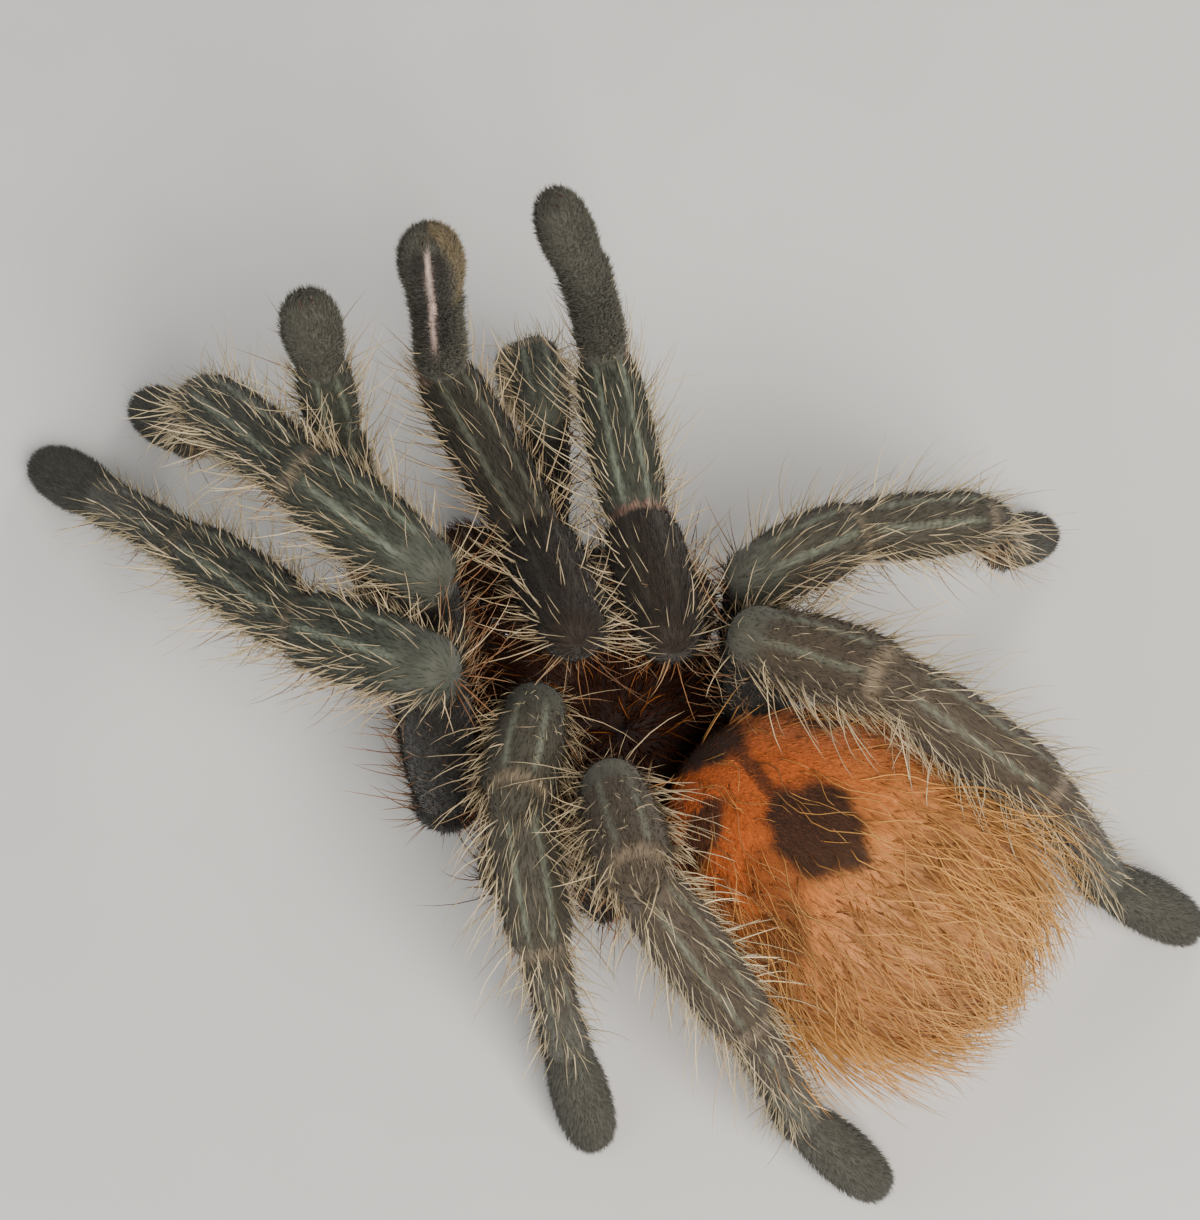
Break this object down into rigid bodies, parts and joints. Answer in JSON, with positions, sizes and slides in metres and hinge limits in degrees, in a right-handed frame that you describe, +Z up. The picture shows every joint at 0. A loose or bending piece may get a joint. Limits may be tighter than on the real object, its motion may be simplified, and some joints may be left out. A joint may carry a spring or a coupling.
{
  "type": "green bottle blue tarantula",
  "caption": "Young tarantula standing huddled with its right front feet raised, dark grey-green legs and an orange abdomen with long golden bristles.",
  "frame": {"origin": "middle of the bottom of the model's box, on the floor under the feet", "axes": "+Y the way the head points, +X the animal's right, +Z up"},
  "size_m": [0.0284, 0.0416, 0.0199],
  "materials": {
    "leg": "dark grey-green cuticle with short fur and long pale bristles",
    "foot": "smooth dark velvety pads",
    "carapace": "dark brown with reddish hair",
    "underside": "dark brown, matt",
    "abdomen": "orange fur with dark marks and long golden bristles",
    "fang": "smooth and shiny black",
    "eyes": "small shiny black eyes on a dark mound"
  },
  "bodies": {
    "root": {"carapace": "carapace", "eye_mound": "eyes", "sternum": "underside", "abdomen": "abdomen", "chelicera_left": "carapace", "fang_left": "fang", "spinneret_left": "abdomen", "chelicera_right": "carapace", "fang_right": "fang", "spinneret_right": "abdomen", "leg_left_1_femur": "leg", "leg_left_1_patella": "leg", "leg_left_1_tibia": "leg", "leg_left_1_foot": "foot", "leg_left_2_femur": "leg", "leg_left_2_patella": "leg", "leg_left_2_tibia": "leg", "leg_left_2_foot": "foot", "leg_left_3_femur": "leg", "leg_left_3_patella": "leg", "leg_left_3_tibia": "leg", "leg_left_3_foot": "foot", "leg_left_4_femur": "leg", "leg_left_4_patella": "leg", "leg_left_4_tibia": "leg", "leg_left_4_foot": "foot", "leg_right_1_femur": "leg", "leg_right_1_patella": "leg", "leg_right_1_tibia": "leg", "leg_right_1_foot": "foot", "leg_right_2_femur": "leg", "leg_right_2_patella": "leg", "leg_right_2_tibia": "leg", "leg_right_2_foot": "foot", "leg_right_3_femur": "leg", "leg_right_3_patella": "leg", "leg_right_3_tibia": "leg", "leg_right_3_foot": "foot", "leg_right_4_femur": "leg", "leg_right_4_patella": "leg", "leg_right_4_tibia": "leg", "leg_right_4_foot": "foot", "palp_left_femur": "leg", "palp_left_tibia": "leg", "palp_left_tarsus": "foot", "palp_right_femur": "leg", "palp_right_tibia": "leg", "palp_right_tarsus": "foot"}
  },
  "joints": []
}
